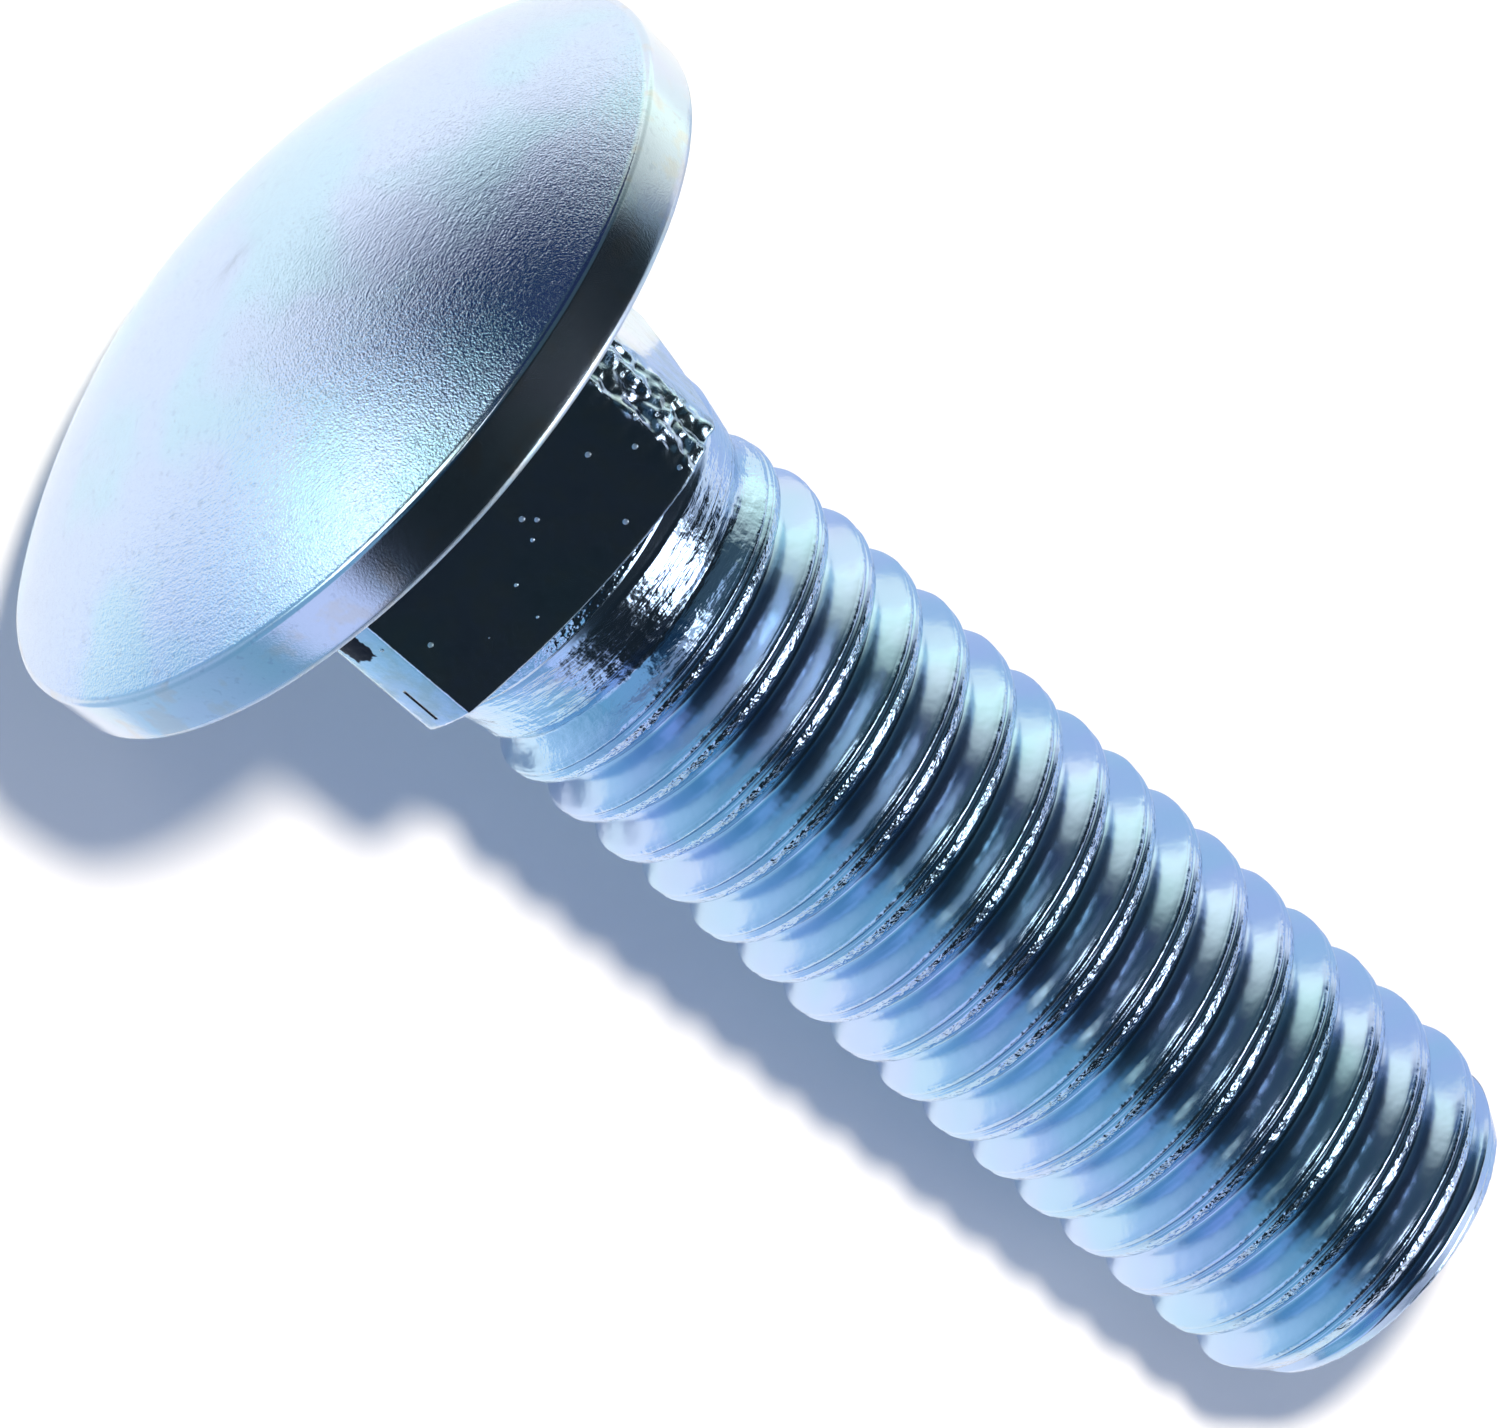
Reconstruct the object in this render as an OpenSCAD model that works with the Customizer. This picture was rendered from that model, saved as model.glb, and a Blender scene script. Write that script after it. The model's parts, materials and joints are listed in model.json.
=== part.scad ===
// Round-head square-neck carriage bolt, 7/16-14 by 1 1/2 in, zinc-plated steel.
// One forged and thread-rolled piece, lying as it comes to rest: on the rim of
// its head and on the last thread. Millimetres, +Z up, the tip towards +X, and
// the origin on the floor under the middle of its bounding box.

/* [Head] */
// Diameter of the round head
head_d = 23.8; // [21:0.1:26]
// Height from the bearing face to the top of the dome
head_h = 5.4; // [4.6:0.1:7]
// Height of the band round the rim, up to where the dome would meet it sharp
rim_h = 1.9; // [1.7:0.05:2.4]
// Radius where the band turns into the dome
rim_top_round = 0.3; // [0.2:0.05:0.6]
// Radius where the band turns into the bearing face
rim_under_round = 0.9; // [0.3:0.05:1]

/* [Square neck] */
// Width of the neck across its flats
neck_flats = 11.1; // [11:0.05:11.5]
// Radius along the four corners of the neck
neck_corner_round = 1.15; // [0.6:0.05:1.6]
// Depth of the neck, from the bearing face to where its corners end
neck_depth = 5.9; // [5:0.1:6.5]
// Slope of the neck's end, in degrees off square to the axis
neck_end_slope = 11; // [8:1:20]
// How far one flat is turned from facing straight up, in degrees
neck_turn = 6.7; // [-44:0.1:44]

/* [Collar] */
// Diameter of the plain collar where it leaves the neck
collar_start_d = 11.16; // [11:0.02:11.4]
// Diameter of the plain collar where the thread begins
collar_end_d = 10.1; // [9.8:0.02:10.3]
// Distance from the bearing face to the end of the collar
collar_end = 7.9; // [7.5:0.1:14]

/* [Thread] */
// Length of the bolt from the bearing face to the tip
bolt_length = 38.6; // [30:0.1:90]
// Diameter over the crests of the thread
thread_d = 10.95; // [10.7:0.01:11.1]
// Distance from one crest to the next: 14 threads to the inch
pitch = 1.8143; // [1.5:0.0001:2.2]
// Depth from the crest to the root
thread_depth = 0.85; // [0.6:0.01:0.9]
// Width of the flat crest
crest_w = 0.54; // [0.2:0.01:0.6]
// Width of the rounded root
root_w = 0.4; // [0.2:0.01:0.5]
// Distance along the bolt over which the thread grows to its full depth
run_out = 2.3; // [1:0.1:4]
// Turn of the thread about the bolt, in degrees
thread_turn = 295; // [0:1:360]
// Diameter of the flat face at the tip
tip_d = 9.3; // [7.5:0.1:9.8]
// Angle of the tip's chamfer to the axis, in degrees
tip_chamfer = 30; // [20:1:60]

/* [Hidden] */
$fn = 96;

head_r = head_d / 2;
thread_r = thread_d / 2;
tip_r = tip_d / 2;
half_flats = neck_flats / 2;
// How far one shape reaches into the next, so that they join as one solid
joined = 1;

// The dome is a ball whose top is head_h above the bearing face, and which
// meets the rounding of the band.
dome_rise = head_h - rim_h;
dome_r = (pow(head_r - rim_top_round, 2) + pow(dome_rise, 2)) / (2 * dome_rise);
dome_centre = dome_r - head_h;
round_z = dome_centre
    - sqrt(pow(dome_r - rim_top_round, 2) - pow(head_r - rim_top_round, 2));

// Where the chamfer of the tip leaves the full diameter of the thread
chamfer_start = bolt_length - (thread_r - tip_r) / tan(tip_chamfer);

// The outline of one pitch of thread, as [distance along the bolt, depth] from
// the middle of a crest: crest, shoulder, root, and back up to the next crest.
shoulder_drop = thread_depth * 0.16;
shoulder_at = crest_w / 2 + shoulder_drop * 0.7;
root_drop = thread_depth * 0.9;
root_at = (pitch - root_w) / 2;
THREAD_OUTLINE = [
    [-crest_w / 2, 0],
    [crest_w / 2, 0],
    [shoulder_at, shoulder_drop],
    [root_at, root_drop],
    [pitch / 2, thread_depth],
    [pitch - root_at, root_drop],
    [pitch - shoulder_at, shoulder_drop]
];
POINTS = len(THREAD_OUTLINE);
STEPS = 40;

// The thread's skin begins inside the neck and runs past the tip, which the
// chamfer's cone then cuts to length.
skin_start = neck_depth - 1.37;
skin_end = bolt_length + 0.61;
first_turn = floor((skin_start - pitch) / pitch) - 2;
last_turn = ceil(skin_end / pitch) + 2;
ROWS = (last_turn - first_turn) * POINTS;

// Distance along the bolt of one point of the skin: row k of column i
function skin_z(i, k) = first_turn * pitch + pitch * (floor(k / POINTS) + i / STEPS + thread_turn / 360)
    + THREAD_OUTLINE[k % POINTS][0];

// Share of the full depth that the thread has at height z
function growth(z) = let (t = min(1, max(0, (z - collar_end) / run_out))) t * t * (3 - 2 * t);

function skin_r(i, k) = let (g = growth(skin_z(i, k)))
    collar_end_d / 2 * (1 - g) + (thread_r - THREAD_OUTLINE[k % POINTS][1]) * g;

// Rows past an end are folded into that end's ring, so each column has its own
// first and last row.
function first_row(i) = max([for (k = [0:ROWS - 1]) if (skin_z(i, k) <= skin_start) k]);
function last_row(i) = min([for (k = [0:ROWS - 1]) if (skin_z(i, k) >= skin_end) k]);

// The bolt leans from the rim of its head down to its last thread: each crest
// along the underside gives a slope, and the shallowest is where it rests.
UNDER_CRESTS = [for (t = [first_turn:last_turn]) pitch * (t + thread_turn / 360)];
function touch_r(z) = z <= chamfer_start ? thread_r : tip_r + (bolt_length - z) * tan(tip_chamfer);
function touch_z(z) = z - crest_w / 2 >= chamfer_start ? z - crest_w / 2 : min(z + crest_w / 2, chamfer_start);
function lean_to(z, r) = let (run = z + rim_under_round, drop = head_r - rim_under_round - r)
    atan2(drop, run) + asin(rim_under_round / norm([run, drop]));
lean = min([for (z = UNDER_CRESTS) if (z > collar_end + run_out && z - crest_w / 2 < bolt_length)
    let (at = touch_z(z)) lean_to(at, touch_r(at))]);
lift = (head_r - rim_under_round) * cos(lean) - rim_under_round * sin(lean) + rim_under_round;

// Ends of the lying bolt along X, measured from the middle of its bearing face
back_end = dome_centre * cos(lean) - dome_r;
front_end = bolt_length * cos(lean) + tip_r * sin(lean);

// Half of the head's section: the band with its two roundings, under the dome
module head_section() {
    intersection() {
        translate([0, dome_centre]) circle(r = dome_r, $fn = 256);
        translate([0, -head_h - joined]) square([head_r - rim_top_round, head_h + joined]);
    }
    translate([0, round_z]) square([head_r, -rim_under_round - round_z]);
    translate([head_r - rim_top_round, round_z]) circle(r = rim_top_round);
    translate([head_r - rim_under_round, -rim_under_round]) circle(r = rim_under_round);
    translate([0, -rim_under_round]) square([head_r - rim_under_round, rim_under_round]);
}

module head() {
    rotate_extrude() intersection() {
        head_section();
        translate([0, -2 * head_h]) square([2 * head_r, 2 * head_h]);
    }
}

module neck_section() {
    inner = half_flats - neck_corner_round;
    square([2 * inner, neck_flats], center = true);
    square([neck_flats, 2 * inner], center = true);
    for (x = [-inner, inner], y = [-inner, inner]) translate([x, y]) circle(r = neck_corner_round);
}

// The square neck ends in a shallow slope, and the plain collar grows out of
// it, so each flat ends in a low arch.
module neck_and_collar() {
    corner_r = half_flats * sqrt(2);
    collar_start = neck_depth + (corner_r - collar_start_d / 2) * tan(neck_end_slope);
    intersection() {
        rotate([0, 0, neck_turn]) translate([0, 0, -joined])
            linear_extrude(height = collar_end + 2 * joined) neck_section();
        rotate_extrude() polygon([
            [0, -joined],
            [corner_r, -joined],
            [corner_r, neck_depth],
            [collar_start_d / 2, collar_start],
            [collar_end_d / 2 - 0.06, collar_end + 0.4],
            [0, collar_end + 0.4]
        ]);
    }
}

module thread_skin() {
    first = [for (i = [0:STEPS - 1]) first_row(i)];
    last = [for (i = [0:STEPS - 1]) last_row(i)];
    points = [
        for (i = [0:STEPS - 1]) for (k = [0:ROWS - 1])
            let (z = min(skin_end, max(skin_start, skin_z(i, k))), a = 360 * i / STEPS, r = skin_r(i, k))
            [r * cos(a), r * sin(a), z],
        [0, 0, skin_start],
        [0, 0, skin_end]
    ];
    bottom = STEPS * ROWS;
    top = bottom + 1;
    // A row of column STEPS is the row one turn further on in column 0
    function spot(i, k) = i < STEPS
        ? i * ROWS + min(last[i], max(first[i], k))
        : min(last[0], max(first[0], k + POINTS));
    skin = [
        for (i = [0:STEPS - 1]) for (k = [min(first) - POINTS:max(last)])
            let (a = spot(i, k), b = spot(i, k + 1), c = spot(i + 1, k + 1), d = spot(i + 1, k))
            for (face = [[a, b, c], [a, c, d]])
                if (face[0] != face[1] && face[1] != face[2] && face[2] != face[0]) face
    ];
    ends = [for (i = [0:STEPS - 1]) let (j = (i + 1) % STEPS) each [
        [bottom, i * ROWS + first[i], j * ROWS + first[j]],
        [top, j * ROWS + last[j], i * ROWS + last[i]]
    ]];
    polyhedron(points = points, faces = concat(skin, ends));
}

module threaded_shank() {
    intersection() {
        thread_skin();
        rotate_extrude() polygon([
            [0, 0],
            [head_r, 0],
            [head_r, bolt_length - (head_r - tip_r) / tan(tip_chamfer)],
            [tip_r, bolt_length],
            [0, bolt_length]
        ]);
    }
}

module carriage_bolt() {
    color([0.72, 0.78, 0.86])
        translate([-(back_end + front_end) / 2, 0, lift])
            rotate([0, 90 + lean, 0]) {
                head();
                neck_and_collar();
                threaded_shank();
            }
}

carriage_bolt();
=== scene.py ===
# Round-head square-neck carriage bolt, 7/16-14 by 1 1/2 in, zinc plated, lying on a white table
import json
import math

import bmesh
import bpy
from mathutils import Matrix, Vector, noise


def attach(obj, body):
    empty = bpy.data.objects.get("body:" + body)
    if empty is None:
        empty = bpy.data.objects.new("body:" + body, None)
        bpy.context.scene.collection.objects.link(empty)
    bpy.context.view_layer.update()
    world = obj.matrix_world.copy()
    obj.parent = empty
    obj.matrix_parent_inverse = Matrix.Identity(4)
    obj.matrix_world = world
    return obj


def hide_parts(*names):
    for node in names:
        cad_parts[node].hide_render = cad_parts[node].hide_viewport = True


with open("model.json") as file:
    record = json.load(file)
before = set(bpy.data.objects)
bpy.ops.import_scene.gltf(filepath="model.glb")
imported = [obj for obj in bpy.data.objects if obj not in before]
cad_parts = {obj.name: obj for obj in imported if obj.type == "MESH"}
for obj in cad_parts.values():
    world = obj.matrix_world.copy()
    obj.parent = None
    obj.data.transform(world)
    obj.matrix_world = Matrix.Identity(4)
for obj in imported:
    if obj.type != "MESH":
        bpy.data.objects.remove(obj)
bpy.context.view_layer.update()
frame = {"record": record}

MM = 0.001

# Sizes of the bolt in millimetres, as in the part's source
HEAD_R = 11.9
HEAD_H = 5.4
RIM_H = 1.9
HALF_FLATS = 5.55
NECK_CORNER_ROUND = 1.15
NECK_DEPTH = 5.9
NECK_END_SLOPE = math.radians(11)
NECK_TURN = math.radians(6.7)
COLLAR_END_R = 5.05
COLLAR_END = 7.9
BOLT_LENGTH = 38.6
THREAD_R = 5.475
PITCH = 1.8143
RUN_OUT = 2.3
THREAD_TURN = 295 / 360
TIP_R = 4.65
TIP_CHAMFER = math.radians(30)

# Sizes in millimetres that follow the real bolt more finely than the source's do
RIM_TOP_ROUND = 0.16
RIM_UNDER_ROUND = 0.3
# How much smaller the rim's radius is at the bearing face than at the dome
RIM_TAPER = 0.1
COLLAR_START_R = 5.52
# The collar keeps its size for a little way and then tapers
TAPER_START = 6.9
TAPER_END = 8.6
ROLLED_DEPTH = 0.86

# The place of the bolt: its own Z runs from the bearing face of the head to the
# tip, and its own X points down to the table.
seat = next(m for m in frame["record"]["mounts"] if m["name"] == "head_seat")
seat_at = Vector(seat["pos_m"])
along = Vector(seat["axis"]).normalized()
down = Vector((along.z, 0, -along.x))
side = Vector((0, 1, 0))
turn_to_row = Matrix((down, side, along)).transposed()
bolt_place = Matrix.Translation(seat_at) @ turn_to_row.to_4x4() @ Matrix.Scale(MM, 4)


# Node trees written as plain sums
class Value:
    """A socket that can stand in a sum: each operator adds its Math node."""

    def __init__(self, tree, socket):
        self.tree = tree
        self.socket = socket

    def __add__(self, other):
        return self.tree.maths("ADD", self, other)

    def __sub__(self, other):
        return self.tree.maths("SUBTRACT", self, other)

    def __rsub__(self, other):
        return self.tree.maths("SUBTRACT", other, self)

    def __mul__(self, other):
        return self.tree.maths("MULTIPLY", self, other)

    def __truediv__(self, other):
        return self.tree.maths("DIVIDE", self, other)

    __radd__ = __add__
    __rmul__ = __mul__


class Tree:
    """One node tree, of a material, the studio's surroundings or a shape."""

    def __init__(self, nodes):
        self.nodes = nodes

    def put(self, value, socket):
        if isinstance(value, Value):
            self.nodes.links.new(value.socket, socket)
        else:
            socket.default_value = value

    def node(self, kind, settings=None, values=(), out=0, **sockets):
        """Adds a node: its settings first, then its sockets in order or by name."""
        made = self.nodes.nodes.new(kind)
        for name, setting in (settings or {}).items():
            if name == "curve":
                points = made.mapping.curves[0].points
                for x, y in setting[1:-1]:
                    points.new(x, y)
                for point, spot in zip(points, setting):
                    point.location = spot
                made.mapping.update()
            else:
                setattr(made, name, setting)
        for value, socket in zip(values, made.inputs):
            self.put(value, socket)
        for name, value in sockets.items():
            self.put(value, made.inputs[name.replace("_", " ")])
        return Value(self, made.outputs[out])

    def end(self, kind, value):
        """Adds the tree's last node, which takes the value that the tree is for."""
        self.put(value, self.nodes.nodes.new(kind).inputs[0])

    def maths(self, operation, *values, clamp=False):
        return self.node("ShaderNodeMath", {"operation": operation, "use_clamp": clamp}, values)

    def smooth(self, low, high, value):
        """0 below low, 1 above high, and a soft step between them."""
        return self.node("ShaderNodeMapRange", {"interpolation_type": "SMOOTHSTEP"},
                         (value, low, high, 0.0, 1.0))

    def between(self, value, low, high, soft):
        """1 from low to high, with an edge on either side as soft as given."""
        return self.smooth(low - soft, low + soft, value) * (1 - self.smooth(high - soft, high + soft, value))

    def least(self, a, b):
        return self.maths("MINIMUM", a, b)

    def most(self, a, b):
        return self.maths("MAXIMUM", a, b)

    def point(self, x, y, z):
        return self.node("ShaderNodeCombineXYZ", values=(x, y, z))

    def split(self, vector):
        parts = self.nodes.nodes.new("ShaderNodeSeparateXYZ")
        self.put(vector, parts.inputs[0])
        return [Value(self, parts.outputs[i]) for i in range(3)]

    def colour(self, share, a, b):
        """The colour a going over to b by a share from 0 to 1."""
        made = self.nodes.nodes.new("ShaderNodeMix")
        made.data_type = "RGBA"
        for name, value in (("Factor_Float", share), ("A_Color", a), ("B_Color", b)):
            socket = next(s for s in made.inputs if s.identifier == name)
            self.put(value if isinstance(value, (Value, float, int)) else (*value, 1), socket)
        return Value(self, next(s for s in made.outputs if s.identifier == "Result_Color"))

    def grain(self, vector, scale, detail=2.0, rough=0.5):
        return self.node("ShaderNodeTexNoise", Vector=vector, Scale=scale, Detail=detail, Roughness=rough)


# Mesh pieces
def new_piece(name, mesh, material):
    """An object at the origin, riding on the one body, whose mesh is given in the bolt's own frame."""
    mesh.transform(bolt_place)
    mesh.materials.clear()
    mesh.materials.append(material)
    for face in mesh.polygons:
        face.use_smooth = True
    piece = bpy.data.objects.new(name, mesh)
    bpy.context.scene.collection.objects.link(piece)
    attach(piece, "root")
    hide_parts("carriage_bolt")
    return piece


def rings_to_mesh(name, rings, first_pole, last_pole):
    """A closed skin over rings of points that all have the same count."""
    mesh = bmesh.new()
    rows = [[mesh.verts.new(p) for p in ring] for ring in rings]
    count = len(rows[0])
    for near, far in zip(rows, rows[1:]):
        for i in range(count):
            j = (i + 1) % count
            mesh.faces.new((near[i], near[j], far[j], far[i]))
    for pole, row in ((first_pole, rows[0]), (last_pole, rows[-1])):
        centre = mesh.verts.new(pole)
        for i in range(count):
            mesh.faces.new((centre, row[i], row[(i + 1) % count]))
    bmesh.ops.recalc_face_normals(mesh, faces=mesh.faces)
    made = bpy.data.meshes.new(name)
    mesh.to_mesh(made)
    mesh.free()
    return made


def arc(centre_r, centre_z, radius, start, end, steps):
    """Points [distance from the axis, height] on an arc; angles in degrees from straight out."""
    turns = [math.radians(start + (end - start) * k / steps) for k in range(steps + 1)]
    return [(centre_r + radius * math.cos(t), centre_z + radius * math.sin(t)) for t in turns]


def lumps(point, height, size, seed):
    """Smooth unevenness up to about a height, with lumps of a size, both in millimetres."""
    return height * noise.noise(Vector(point) / size + Vector((seed, seed * 1.7, seed * 0.3)))


# The forged head
HEAD_ROUND_STEPS = 288
DOME_STEPS = 54
RIM_TOP_STEPS = 8
RIM_BAND_STEPS = 9
RIM_UNDER_STEPS = 9
# Degrees between the axis and the first ring of the dome, which the pole closes
POLE_GAP = 0.6
# Degrees past straight out at which the roundings of the rim meet its band
BAND_LEAN = 8
# Radii of the rings that cover the bearing face
BEARING_RINGS = (10.4, 9.6, 8.6, 7.4, 5.4, 2.5)
# Unevenness of the forging, as height, size of its lumps and seed
RIM_WAVES = (0.02, 3.2, 3)
RIM_RIPPLES = (0.007, 1.2, 5)
DOME_WAVES = (0.03, 4.5, 9)
# The uneven rim lies this much inside its true radius on the whole
RIM_INSIDE = 0.01
# The rim's unevenness grows from this radius over this width, and the dome's waves end at this height
UNEVEN_FROM = 11.0
UNEVEN_OVER = 0.6
DOME_WAVES_END = -1


def head_outline():
    """Half section of the head, from the top of the dome to the bearing face."""
    rise = HEAD_H - RIM_H
    inner = HEAD_R - RIM_TOP_ROUND
    dome_r = (inner**2 + rise**2) / (2 * rise)
    dome_centre = dome_r - HEAD_H
    round_z = dome_centre - math.sqrt((dome_r - RIM_TOP_ROUND) ** 2 - inner**2)
    edge = math.degrees(math.asin(inner / (dome_r - RIM_TOP_ROUND)))
    outline = arc(0, dome_centre, dome_r, -90 + POLE_GAP, -90 + edge, DOME_STEPS)
    outline += arc(inner, round_z, RIM_TOP_ROUND, -90 + edge, BAND_LEAN, RIM_TOP_STEPS)[1:]
    low_r = HEAD_R - RIM_TAPER - RIM_UNDER_ROUND
    turned = arc(low_r, -RIM_UNDER_ROUND, RIM_UNDER_ROUND, BAND_LEAN, 90, RIM_UNDER_STEPS)
    (r0, z0), (r1, z1) = outline[-1], turned[0]
    for k in range(1, RIM_BAND_STEPS):
        outline.append((r0 + (r1 - r0) * k / RIM_BAND_STEPS, z0 + (z1 - z0) * k / RIM_BAND_STEPS))
    outline += turned
    outline += [(r, 0) for r in BEARING_RINGS]
    return outline


def forged_head(material):
    rings = []
    for r, z in head_outline():
        ring = []
        for k in range(HEAD_ROUND_STEPS):
            a = math.tau * k / HEAD_ROUND_STEPS
            x, y = math.cos(a), math.sin(a)
            spot = (r * x, r * y, z)
            uneven = min(1, max(0, (r - UNEVEN_FROM) / UNEVEN_OVER))
            out = (lumps(spot, *RIM_WAVES) + lumps(spot, *RIM_RIPPLES) - RIM_INSIDE) * uneven
            lift = lumps(spot, *DOME_WAVES) if z < DOME_WAVES_END else 0.0
            ring.append(((r + out) * x, (r + out) * y, z + lift))
        rings.append(ring)
    mesh = rings_to_mesh("forged_head", rings, (0, 0, -HEAD_H), (0, 0, 0))
    return new_piece("forged_head", mesh, material)


# The square neck
FLAT_STEPS = 28
CORNER_STEPS = 18
NECK_ROWS = 65
# The neck's skin starts a little inside the head
NECK_START = -0.6
# How flat the neck's rounded corners are, from 0 for an arc to 1 for a straight chamfer
CORNER_FLAT = 0.75
# Distance of the loop that keeps the edge between a flat and a corner crisp
EDGE_LOOP = 0.04
# The sides stop this far short of the neck's end, and rows run from there in over the end,
# as [distance in from the sides, distance short of the end]
SIDES_SHORT = 0.1
END_ROWS = ((0.03, 0.03), (0.1, 0.0), (0.3, 0.0), (0.7, 0.0), (1.5, 0.0), (3.0, 0.0))
# The torn corner: where it is round the neck, and how far the tearing reaches as a share of the radius
TORN_CORNER = math.radians(135)
TORN_REACH = 0.23
# Its furrows run along the bolt, with pits among them, as height, size of the lumps and seed
TORN_FURROWS = (0.2, 0.4, 2)
TORN_PITS = (0.13, 0.28, 4)
FURROW_STRETCH = 0.45
TORN_DEPTH = 0.14
# The radius at which a dent has its stated depth
DENT_R = 6


def neck_outline():
    """Points once round the neck's section."""
    inner = HALF_FLATS - NECK_CORNER_ROUND
    points = []
    for quarter in range(4):
        for k in range(FLAT_STEPS + 1):
            points.append((quarter, HALF_FLATS, (inner - EDGE_LOOP) * (2 * k / FLAT_STEPS - 1)))
        for k in range(CORNER_STEPS + 1):
            share = k / CORNER_STEPS
            a = math.pi / 2 * share
            x = inner + NECK_CORNER_ROUND * (math.cos(a) * (1 - CORNER_FLAT) + (1 - share) * CORNER_FLAT)
            y = inner + NECK_CORNER_ROUND * (math.sin(a) * (1 - CORNER_FLAT) + share * CORNER_FLAT)
            points.append((quarter, x, y))
    made = []
    for quarter, x, y in points:
        a = quarter * math.pi / 2 + NECK_TURN
        made.append((x * math.cos(a) - y * math.sin(a), x * math.sin(a) + y * math.cos(a)))
    return made


def neck_end_at(r):
    """Height of the neck's conical end at a distance from the axis."""
    corner_r = HALF_FLATS * math.sqrt(2)
    return NECK_DEPTH + (corner_r - r) * math.tan(NECK_END_SLOPE)


def tear(x, y, z, torn_way):
    """A point of the neck, dented where it is near the torn corner."""
    near = max(0.0, 1 - (Vector((x, y, 0)).normalized() - torn_way).length / TORN_REACH)
    near = near * near * (3 - 2 * near)
    furrows = lumps((x, y, z * FURROW_STRETCH), *TORN_FURROWS)
    dent = furrows + lumps((x, y, z), *TORN_PITS) - TORN_DEPTH
    pull = 1 + near * dent / DENT_R
    return (x * pull, y * pull, z)


def square_neck(material):
    outline = neck_outline()
    rings = []
    for k in range(NECK_ROWS + 1):
        ring = []
        for x, y in outline:
            end = neck_end_at(math.hypot(x, y)) - SIDES_SHORT
            ring.append((x, y, NECK_START + (end - NECK_START) * k / NECK_ROWS))
        rings.append(ring)
    for inset, short in END_ROWS:
        ring = []
        for x, y in outline:
            r = math.hypot(x, y)
            k = (r - inset) / r
            ring.append((x * k, y * k, neck_end_at(r - inset) - short))
        rings.append(ring)
    torn = TORN_CORNER + NECK_TURN
    torn_way = Vector((math.cos(torn), math.sin(torn), 0))
    rings = [[tear(x, y, z, torn_way) for x, y, z in ring] for ring in rings]
    mesh = rings_to_mesh("square_neck", rings, (0, 0, NECK_START), (0, 0, neck_end_at(0)))
    return new_piece("square_neck", mesh, material)


# The rolled shank: collar, thread and tip, by Geometry Nodes
# The shank's skin starts inside the neck
SHANK_START = 5.0
ROUND_STEPS = 160
ROWS_A_PITCH = 30
# Pitches of spare rows before the start, and in all
SPARE_BEFORE = 3
SPARE_PITCHES = 5
# A row this close below a whole pitch counts as its first
ROW_SLACK = 0.0005
# How strongly the rows crowd at the seam: 0 for even rows, near 1 for the most
CROWDING = 0.6
# One pitch of the rolled form, from one crest to the next, as [share of the pitch, share of
# the depth]: seam, sloping shoulder, root, straight flank, lip
CREST_FORM = [(0.0, 0.06), (0.012, 0.13), (0.03, 0.06), (0.06, 0.035), (0.1, 0.04), (0.14, 0.055),
              (0.18, 0.09), (0.22, 0.135), (0.26, 0.18), (0.28, 0.215), (0.3, 0.275), (0.34, 0.41),
              (0.39, 0.58), (0.44, 0.75), (0.475, 0.88), (0.495, 0.955), (0.51, 0.985), (0.525, 0.97),
              (0.545, 0.91), (0.59, 0.785), (0.68, 0.555), (0.79, 0.28), (0.85, 0.125), (0.89, 0.04),
              (0.925, 0.006), (0.96, 0.0), (0.988, 0.015), (1.0, 0.06)]
SEAM_AT = 0.012
# How far past the middle of the source's crest the seam lies, as a share of the pitch
SEAM_PAST = 0.0243
# Unevenness of the worn crests, and how far it is shifted inwards, as a share of itself
CREST_WEAR = 0.022
WEAR_SHIFT = 0.6
# Unevenness of the tapered collar and of the chamfer, from lowest to highest
COLLAR_WAVES = 0.07
TIP_WAVES = 0.1
# The radius of the tube that the noise for wear and waves is read on
NOISE_R = 5
# Past an end the rows reach the axis within this share of a pitch, and the tip's face is cupped
CLOSED_WITHIN = 0.9
CUP_DEPTH = 0.25
# Points closer than this are one
WELD = 0.0008


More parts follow.
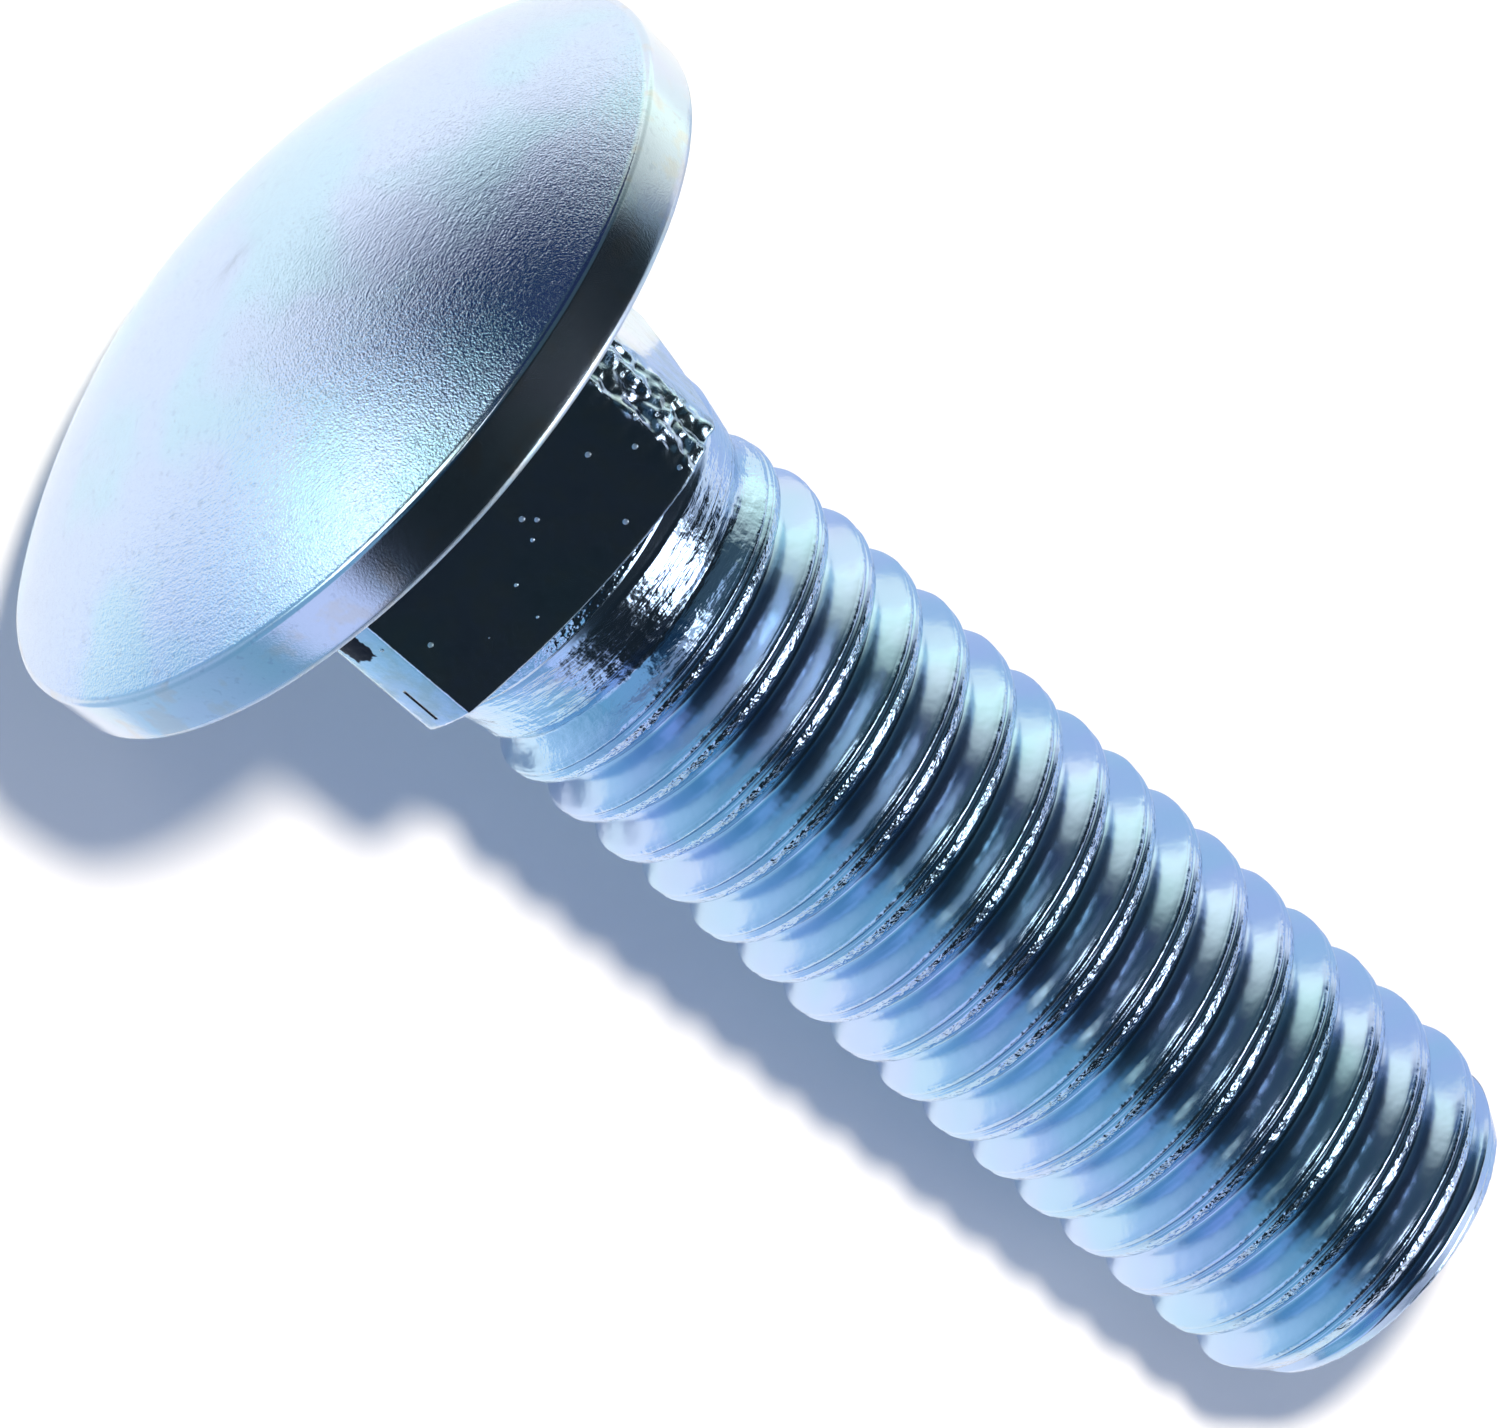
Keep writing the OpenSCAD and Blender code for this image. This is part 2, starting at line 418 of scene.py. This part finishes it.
def shank_tree():
    """The tree that rolls a thread on the shank, with its sizes as named inputs."""
    group = bpy.data.node_groups.new("rolled_shank", "GeometryNodeTree")
    sizes = {
        "Start": SHANK_START, "Length": BOLT_LENGTH, "Collar Start Radius": COLLAR_START_R,
        "Collar End Radius": COLLAR_END_R, "Collar End": COLLAR_END, "Thread Radius": THREAD_R,
        "Pitch": PITCH, "Thread Depth": ROLLED_DEPTH, "Run-out": RUN_OUT, "Turn": THREAD_TURN,
        "Tip Radius": TIP_R, "Crest Wear": CREST_WEAR,
    }
    face = group.interface
    given = {}
    for name, size in sizes.items():
        socket = face.new_socket(name=name, in_out="INPUT", socket_type="NodeSocketFloat")
        given[name] = (socket.identifier, size)
    rows = face.new_socket(name="Rows", in_out="INPUT", socket_type="NodeSocketInt")
    steps = face.new_socket(name="Steps Round", in_out="INPUT", socket_type="NodeSocketInt")
    finish = face.new_socket(name="Finish", in_out="INPUT", socket_type="NodeSocketMaterial")
    face.new_socket(name="Shank", in_out="OUTPUT", socket_type="NodeSocketGeometry")
    t = Tree(group)
    inputs = group.nodes.new("NodeGroupInput")
    size = {s.name: Value(t, s) for s in inputs.outputs if s.name}
    pitch, length, start = size["Pitch"], size["Length"], size["Start"]

    # A flat grid, one metre square about its middle: across it the turn, up it the rows
    grid = t.node("GeometryNodeMeshGrid", values=(1.0, 1.0, size["Steps Round"] + 1, size["Rows"] + 1))
    turn, row, _ = t.split(t.node("GeometryNodeInputPosition"))
    turn = turn + 0.5
    row = (row + 0.5) * size["Rows"] / ROWS_A_PITCH
    whole = t.maths("FLOOR", row + ROW_SLACK)
    share = row - whole
    crowded = share - CROWDING / math.tau * t.maths("SINE", (share - SEAM_AT) * math.tau)
    first = t.maths("FLOOR", start / pitch) - SPARE_BEFORE
    spot = whole + crowded
    z_raw = (spot + first + turn + size["Turn"] + SEAM_PAST - SEAM_AT) * pitch
    z = t.least(t.most(z_raw, start), length)
    angle = turn * math.tau
    cosine = t.maths("COSINE", angle)
    sine = t.maths("SINE", angle)

    # Depth of the rolled form below the crest, and the uneven wear on the crest
    form = t.node("ShaderNodeFloatCurve", {"curve": CREST_FORM}, (1.0, t.maths("FRACT", crowded + 1)))
    tube = t.point(cosine * NOISE_R, sine * NOISE_R, z)
    wear = (t.grain(tube, scale=1.7, detail=3.0) - 0.5) * 2
    crest = 1 - t.smooth(0.02, 0.3, form)
    worn = (wear - WEAR_SHIFT) * size["Crest Wear"] * crest
    threaded = size["Thread Radius"] - form * size["Thread Depth"] + worn

    # The plain collar goes over into the thread, and the chamfer cuts the tip
    taper = t.maths("DIVIDE", z - TAPER_START, TAPER_END - TAPER_START, clamp=True)
    plain = size["Collar Start Radius"] + (size["Collar End Radius"] - size["Collar Start Radius"]) * taper
    plain = plain + (t.grain(tube, scale=2.6) - 0.5) * taper * COLLAR_WAVES
    grown = t.smooth(0.0, 1.0, (z - size["Collar End"]) / size["Run-out"])
    radius = plain * (1 - grown) + threaded * grown
    chamfer = size["Tip Radius"] + (length - z) * math.tan(TIP_CHAMFER)
    radius = t.least(radius, chamfer + (t.grain(tube, scale=0.6) - 0.5) * TIP_WAVES)

    # Past either end the rows run in to the axis and close the shank
    past = t.most(z_raw - length, 0.0)
    before = t.most(start - z_raw, 0.0)
    closing = t.most(1 - (past + before) / (pitch * CLOSED_WITHIN), 0.0)
    cup = t.smooth(0.0, 0.8, 1 - closing) * CUP_DEPTH
    z_end = z - cup * t.smooth(0.0, 0.001, past)
    radius = radius * closing
    place = t.point(radius * cosine, radius * sine, z_end)
    shaped = t.node("GeometryNodeSetPosition", Geometry=grid, Position=place)
    merged = t.node("GeometryNodeMergeByDistance", Geometry=shaped, Distance=WELD)
    real = t.node("GeometryNodeRealizeInstances", Geometry=merged)
    t.end("NodeGroupOutput", t.node("GeometryNodeSetMaterial", Geometry=real, Material=size["Finish"]))
    return group, given, rows.identifier, steps.identifier, finish.identifier


def rolled_shank(material):
    group, given, rows, steps, finish = shank_tree()
    maker = bpy.data.objects.new("shank_maker", bpy.data.meshes.new("shank_maker"))
    bpy.context.scene.collection.objects.link(maker)
    modifier = maker.modifiers.new("thread", "NODES")
    modifier.node_group = group
    for identifier, size in given.values():
        modifier[identifier] = size
    pitches = math.ceil((BOLT_LENGTH - SHANK_START) / PITCH) + SPARE_PITCHES
    modifier[rows] = pitches * ROWS_A_PITCH
    modifier[steps] = ROUND_STEPS
    modifier[finish] = material
    bpy.context.view_layer.update()
    evaluated = maker.evaluated_get(bpy.context.evaluated_depsgraph_get())
    made = bpy.data.meshes.new_from_object(evaluated)
    maker.modifiers.remove(modifier)
    bpy.data.objects.remove(maker)
    skin = bmesh.new()
    skin.from_mesh(made)
    bmesh.ops.dissolve_degenerate(skin, dist=WELD, edges=skin.edges)
    bmesh.ops.recalc_face_normals(skin, faces=skin.faces)
    skin.to_mesh(made)
    skin.free()
    made.name = "rolled_shank"
    return new_piece("rolled_shank", made, material)


# Finishes: bright zinc, bluish, with the marks of forging and rolling
ZINC = (0.5, 0.66, 0.83)
ZINC_LAVENDER = (0.56, 0.64, 0.9)
ZINC_CYAN = (0.44, 0.71, 0.83)
ZINC_WARM = (0.56, 0.57, 0.58)
ROLLED_ZINC = (0.42, 0.59, 0.8)
PIT_BLUE = (0.3, 0.4, 0.6)
MOTTLE_GREEN = (0.42, 0.5, 0.42)
# Near black for painted shade in the slot and under the head
PAINTED_SHADE_BLACK = (0.01, 0.012, 0.02)
# The height, in metres, that a bump of strength 1 stands for
BUMP_HEIGHT = 0.0001


def bolt_coordinates(tree):
    """Object coordinates turned into the bolt's own frame, in millimetres."""
    spot = tree.node("ShaderNodeTexCoord", out="Object")
    inverse = turn_to_row.transposed()
    return tree.node("ShaderNodeMapping", {"vector_type": "POINT"}, (
        spot, -(inverse @ seat_at) / MM, inverse.to_euler(), (1 / MM,) * 3))


def turn_round(tree, x, y):
    """Share of a turn about the bolt, from -0.5 to 0.5 with 0 at its top."""
    return tree.maths("ARCTAN2", 0.0 - y, 0.0 - x) / math.tau


def new_finish(name):
    material = bpy.data.materials.new(name)
    material.use_nodes = True
    material.node_tree.nodes.clear()
    return material, Tree(material.node_tree)


def finish_out(tree, colour, rough, height, strength):
    bump = tree.node("ShaderNodeBump", Height=height, Strength=strength, Distance=BUMP_HEIGHT)
    shader = tree.node("ShaderNodeBsdfPrincipled", Base_Color=colour, Roughness=rough,
                       Metallic=1.0, Normal=bump)
    tree.end("ShaderNodeOutputMaterial", shader)


def zinc_tint(tree, spot):
    """The faint lavender and cyan clouds of clear-passivated zinc."""
    clouds = tree.smooth(0.42, 0.62, tree.grain(spot, scale=0.22))
    return tree.colour(clouds, ZINC_LAVENDER, ZINC_CYAN)


def head_finish():
    """Fine grit and brush lines that run round the dome, and a smoother rim with warm stains."""
    material, t = new_finish("zinc_on_forged_head")
    spot = bolt_coordinates(t)
    x, y, z = t.split(spot)
    r = t.maths("SQRT", x * x + y * y)
    rim = t.smooth(-RIM_H - 0.03, -RIM_H + 0.04, z)
    bearing_face = t.smooth(-0.3, -0.1, z)
    grit = t.grain(spot, scale=14.0, rough=0.6)
    # Brush lines: noise drawn out round the dome
    brushed = t.grain(t.point(r * 11, turn_round(t, x, y) * 130, 0.0), scale=1.0)
    pits = t.smooth(0.6, 0.7, t.grain(spot, scale=4.2))
    stains = t.smooth(0.5, 0.66, t.grain(spot, scale=1.1, detail=3.0))
    body = t.colour(0.4, ZINC, zinc_tint(t, spot))
    body = t.colour(pits * 0.3, body, PIT_BLUE)
    body = t.colour(rim * (stains * 0.4 + 0.3), body, ZINC_WARM)
    rough = 0.16 + grit * 0.08 - rim * 0.02 + bearing_face * 0.32
    height = (grit * 0.75 + brushed * 0.45 + t.grain(spot, scale=1.8) * 0.2) * (1 - rim * 0.88)
    finish_out(t, body, rough, height, strength=0.36)
    return material


# Painted shade in the neck's lower corner, in millimetres: a dented slot painted black as shade, and a black
# patch of painted shadow under the head; each from where to where along the bolt, and across the corner, as
# the difference of the distances to the neck's two middle planes
SLOT_ALONG = (4.5, 5.7)
SLOT_ACROSS = (0.17, 0.31)
SHADE_UNDER_HEAD_ALONG = (0.5, 3.1)
SHADE_UNDER_HEAD_ACROSS = (-0.35, 0.8)
# Where each corner's marks begin and are full, as the sum of those two distances
LOWER_CORNER = (9.7, 10.0)
TORN_EDGE = (9.75, 10.15)


def neck_finish():
    """Mottled flats with bright specks, a rough torn corner, and in the other corner a dented slot painted
    black as shade and a black patch of painted shadow under the head.
    """
    material, t = new_finish("zinc_on_square_neck")
    spot = bolt_coordinates(t)
    x, y, z = t.split(spot)
    # Across the flats of the turned square: the front flat is at -HALF_FLATS
    front = x * math.cos(NECK_TURN) + y * math.sin(NECK_TURN)
    aside = y * math.cos(NECK_TURN) - x * math.sin(NECK_TURN)
    across = front - aside
    corner = t.smooth(*LOWER_CORNER, 0.0 - front - aside)
    torn = t.smooth(*TORN_EDGE, aside - front)
    # The slot is a real dent in the bump and is also painted near black as shade; the patch under the head is
    # painted shadow only, with no dent
    slot_dent_and_shade = t.between(across, *SLOT_ACROSS, 0.02) * t.between(z, *SLOT_ALONG, 0.04) * corner
    uneven = (t.grain(spot, scale=2.6) - 0.5) * 0.8
    painted_shade_under_head = t.between(across + uneven, *SHADE_UNDER_HEAD_ACROSS, 0.06) * t.between(z + uneven, *SHADE_UNDER_HEAD_ALONG, 0.08)
    painted_shade_marks = t.least(t.most(slot_dent_and_shade, painted_shade_under_head * corner) * 1.4, 1.0)
    mottle = t.grain(spot, scale=1.4, detail=3.0)
    speck = 1 - t.smooth(0.05, 0.1, t.node("ShaderNodeTexVoronoi", Vector=spot, Scale=1.15))
    body = t.colour(0.4, ZINC, zinc_tint(t, spot))
    body = t.colour(t.smooth(0.4, 0.7, mottle) * 0.4, body, MOTTLE_GREEN)
    # Painted shade: the slot and the patch under the head are painted near black
    body = t.colour(painted_shade_marks, body, PAINTED_SHADE_BLACK)
    rough = 0.14 + mottle * 0.1 + torn * 0.08 + speck * 0.5
    ragged = t.grain(spot, scale=4.5, detail=3.0, rough=0.6)
    height = t.grain(spot, scale=5.0, detail=3.0) * 0.12 + mottle * 0.1 + speck * 0.4
    height = height + torn * ragged - slot_dent_and_shade * 1.5
    finish_out(t, body, rough, height, strength=1.0)
    return material


def thread_finish():
    """Smooth rolled flanks between crests that carry ragged rolling marks."""
    material, t = new_finish("zinc_on_rolled_thread")
    spot = bolt_coordinates(t)
    x, y, z = t.split(spot)
    turn = turn_round(t, x, y)
    # Share of a pitch from the seam, as in CREST_FORM; whole pitches are added to keep it above 0
    share = t.maths("FRACT", z / PITCH - turn - 0.5 - THREAD_TURN - SEAM_PAST + SEAM_AT + 20)
    shoulder = t.smooth(0.07, 0.12, share) * (1 - t.smooth(0.3, 0.34, share))
    lip = t.smooth(0.88, 0.93, share)
    collar = t.smooth(6.85, 7.05, z) * (1 - t.smooth(8.8, 10.4, z))
    marked = t.most(shoulder, collar * 0.7)
    body = t.colour(0.35, ROLLED_ZINC, zinc_tint(t, spot))
    # Rolling marks run along the thread, and marks of drawing round the collar
    rolled = t.grain(t.point(turn * 95, (z / PITCH - turn) * 9, 0.0), scale=1.0, rough=0.6)
    drawn = t.grain(t.point(turn * 20, z * 3.2, 0.0), scale=1.0, detail=3.0, rough=0.6)
    streak = t.colour(collar, rolled, drawn)
    beads = t.grain(spot, scale=3.4)
    rough = 0.21 - marked * 0.06
    height = streak * marked * 2.6 + beads * t.most(marked, lip) * 1.2 + t.grain(spot, scale=1.3) * 0.5
    finish_out(t, body, rough, height, strength=0.35)
    return material


# Studio: white table, soft surroundings, lamp and camera
DARK_ROOM = (0.012, 0.04, 0.075)
DARK_FRONT = (0.012, 0.018, 0.022)
TEAL_SHADE = (0.06, 0.1, 0.125)
BLUE_SHADE = (0.1, 0.19, 0.36)
BRIGHT_SIDE = (0.28, 0.52, 0.72)
PALE_SIDE = (0.85, 0.92, 1.2)
PALE_CYAN = (2.2, 2.8, 2.5)
WINDOW = (6.0, 6.0, 6.0)
SMALL_WINDOW = (5.0, 5.0, 5.0)


def compass(azimuth, elevation):
    """A direction by its two angles in degrees; azimuth 0 is where the tip points."""
    a, e = math.radians(azimuth), math.radians(elevation)
    return Vector((math.cos(a) * math.cos(e), math.sin(a) * math.cos(e), math.sin(e)))


def surroundings():
    """Soft patches of light and shade round the bolt, each laid down by its direction."""
    world = bpy.data.worlds.new("studio")
    bpy.context.scene.world = world
    world.use_nodes = True
    world.node_tree.nodes.clear()
    t = Tree(world.node_tree)
    # In a world this output is the direction that a ray leaves in
    way = t.node("ShaderNodeTexCoord", out="Generated")

    def facing(direction, inner, outer):
        """1 within inner degrees of a direction, 0 past outer degrees."""
        towards = t.node("ShaderNodeVectorMath", {"operation": "DOT_PRODUCT"}, (way, direction), "Value")
        return t.smooth(math.cos(math.radians(outer)), math.cos(math.radians(inner)), towards)

    ahead, across, height = t.split(way)
    low = 1 - t.smooth(0.1, 0.22, height)
    behind = t.smooth(0.0, 0.5, 0.0 - ahead)
    sky = t.colour(t.smooth(-0.1, 0.5, across), DARK_ROOM, TEAL_SHADE)
    sky = t.colour(t.smooth(-0.1, 0.25, ahead), sky, DARK_FRONT)
    sky = t.colour(low * behind, sky, BLUE_SHADE)
    bright_side = 0.0 - across - t.smooth(-0.2, 0.4, ahead) * 0.2
    side_colour = t.colour(t.smooth(0.05, 0.45, ahead), BRIGHT_SIDE, PALE_SIDE)
    sky = t.colour(t.smooth(0.29, 0.45, bright_side), sky, side_colour)
    sky = t.colour(facing(compass(192, 6), inner=6, outer=26) * low, sky, PALE_CYAN)
    sky = t.colour(facing(compass(22, 14), inner=6, outer=19), sky, WINDOW)
    sky = t.colour(facing(compass(172, 48), inner=2, outer=7), sky, SMALL_WINDOW)
    t.end("ShaderNodeOutputWorld", t.node("ShaderNodeBackground", Color=sky, Strength=1.0))


def flat_sheet(name, width, height, place, material):
    """A rectangle of the stage at its place, in metres."""
    grid = bmesh.new()
    bmesh.ops.create_grid(grid, x_segments=1, y_segments=1, size=0.5)
    grid.transform(place @ Matrix.Diagonal((width, height, 1, 1)))
    mesh = bpy.data.meshes.new(name)
    grid.to_mesh(mesh)
    grid.free()
    mesh.materials.append(material)
    made = bpy.data.objects.new(name, mesh)
    bpy.context.scene.collection.objects.link(made)
    return made


TABLE_SIDE = 3.0
TABLE_WHITE = (0.9, 0.9, 0.9, 1)


def white_table():
    material, t = new_finish("white_table")
    shader = t.node("ShaderNodeBsdfPrincipled", Base_Color=TABLE_WHITE, Roughness=0.7)
    t.end("ShaderNodeOutputMaterial", shader)
    flat_sheet("table_top", TABLE_SIDE, TABLE_SIDE, Matrix.Identity(4), material)


def card(name, middle, faces, width, height, low, high=None):
    """A card that only the bolt mirrors; sizes in millimetres, its colour going from low up to high."""
    material, t = new_finish(name)
    colour = (*low, 1)
    if high:
        _, _, z = t.split(t.node("ShaderNodeTexCoord", out="Object"))
        up = z / (height * MM) + (0.5 - middle[2] / height)
        colour = t.colour(up, low, high)
    t.end("ShaderNodeOutputMaterial", t.node("ShaderNodeEmission", Color=colour, Strength=1.0))
    turned = Vector(faces).to_track_quat("Z", "Y").to_matrix().to_4x4()
    place = Matrix.Translation(Vector(middle) * MM) @ turned
    made = flat_sheet(name, width * MM, height * MM, place, material)
    made.visible_camera = False
    made.visible_diffuse = False
    made.visible_shadow = False


def cards():
    """Two cards at the sides of the bolt, two behind its head and one flat on the table."""
    card("pale_card", middle=(-32, 30, 13.5), faces=(0, -1, 0), width=54, height=27,
         low=(1.75, 1.8, 1.5), high=(0.06, 0.1, 0.12))
    card("blue_card", middle=(-20, -24, 13), faces=(0, 1, 0), width=64, height=26,
         low=(0.74, 0.88, 1.1), high=(0.22, 0.43, 0.6))
    card("dark_card", middle=(-47, 15, 17.5), faces=(0.951, -0.309, 0), width=31, height=33,
         low=(0.015, 0.03, 0.09))
    card("cyan_card", middle=(-48.5, -9.5, 25), faces=(0.981, 0.195, 0), width=19, height=22,
         low=(0.3, 0.6, 0.95), high=(4.0, 4.4, 3.8))
    card("near_table_card", middle=(14.5, 15.5, 0.2), faces=(0, 0, 1), width=47, height=19,
         low=(0.62, 0.73, 0.96))


def new_light(name, kind, energy, colour):
    """A light that the bolt doesn't mirror."""
    data = bpy.data.lights.new(name, kind)
    data.energy = energy
    data.color = colour
    light = bpy.data.objects.new(name, data)
    bpy.context.scene.collection.objects.link(light)
    light.visible_glossy = False
    return light, data


FILL_SIZE = 0.8
FILL_HEIGHT = 0.7


def fill():
    """Faint blue light from above, which only tints the bolt's shadow."""
    light, data = new_light("fill", "AREA", energy=1.15, colour=(0.6, 0.58, 1.0))
    data.shape = "DISK"
    data.size = FILL_SIZE
    light.location = (0, 0, FILL_HEIGHT)


# The way from the bolt to the lamp, the lamp's distance and size, and its pool of light on the table
TO_LAMP = Vector((-0.28, 0.25, 1.0)).normalized()
LAMP_DISTANCE = 0.45
LAMP_SIZE = 0.022
POOL_CENTRE = Vector((-0.005, -0.02, 0.0))
POOL_R = 0.11


def lamp():
    """The lamp that makes the white pool on the table and the bolt's shadow."""
    light, data = new_light("lamp", "SPOT", energy=9.2, colour=(1.0, 0.9, 0.76))
    data.shadow_soft_size = LAMP_SIZE
    data.spot_size = 2 * math.atan(POOL_R / LAMP_DISTANCE)
    data.spot_blend = 0.4
    light.location = TO_LAMP * LAMP_DISTANCE
    light.rotation_mode = "QUATERNION"
    light.rotation_quaternion = (light.location - POOL_CENTRE).to_track_quat("Z", "Y")


# The long lens, and how the view is turned against the bolt: about its side and then
# about the line of sight, in radians
LENS = 360
SENSOR = 36
LOOK_TURN = 0.40859
ROLL = 0.70693
# Where the middle of the bearing face lies in the view, in millimetres: right, down and away
SEAT_IN_VIEW = Vector((-9.8362, -8.6949, 397.06))


def camera():
    """A long lens from above the head, placed by the bolt's own axes."""
    data = bpy.data.cameras.new("camera")
    data.sensor_width = SENSOR
    data.lens = LENS
    data.clip_start = 0.01
    data.clip_end = 10
    # Axes of the bolt for the view: x to its tip, y away from the lamp's side, z down through it
    bolt_axes = Matrix((along, -side, down)).transposed()
    to_view = Matrix.Rotation(ROLL, 3, "Z") @ Matrix.Rotation(-LOOK_TURN, 3, "Y")
    eye = seat_at - bolt_axes @ (to_view.transposed() @ SEAT_IN_VIEW) * MM
    right, below, forward = (bolt_axes @ Vector(row) for row in to_view)
    cam = bpy.data.objects.new("camera", data)
    bpy.context.scene.collection.objects.link(cam)
    cam.matrix_world = Matrix.Translation(eye) @ Matrix((right, -below, -forward)).transposed().to_4x4()
    bpy.context.scene.camera = cam


def main():
    forged_head(head_finish())
    square_neck(neck_finish())
    rolled_shank(thread_finish())
    surroundings()
    white_table()
    cards()
    fill()
    lamp()
    camera()
    bpy.context.scene.view_settings.view_transform = "Standard"


main()
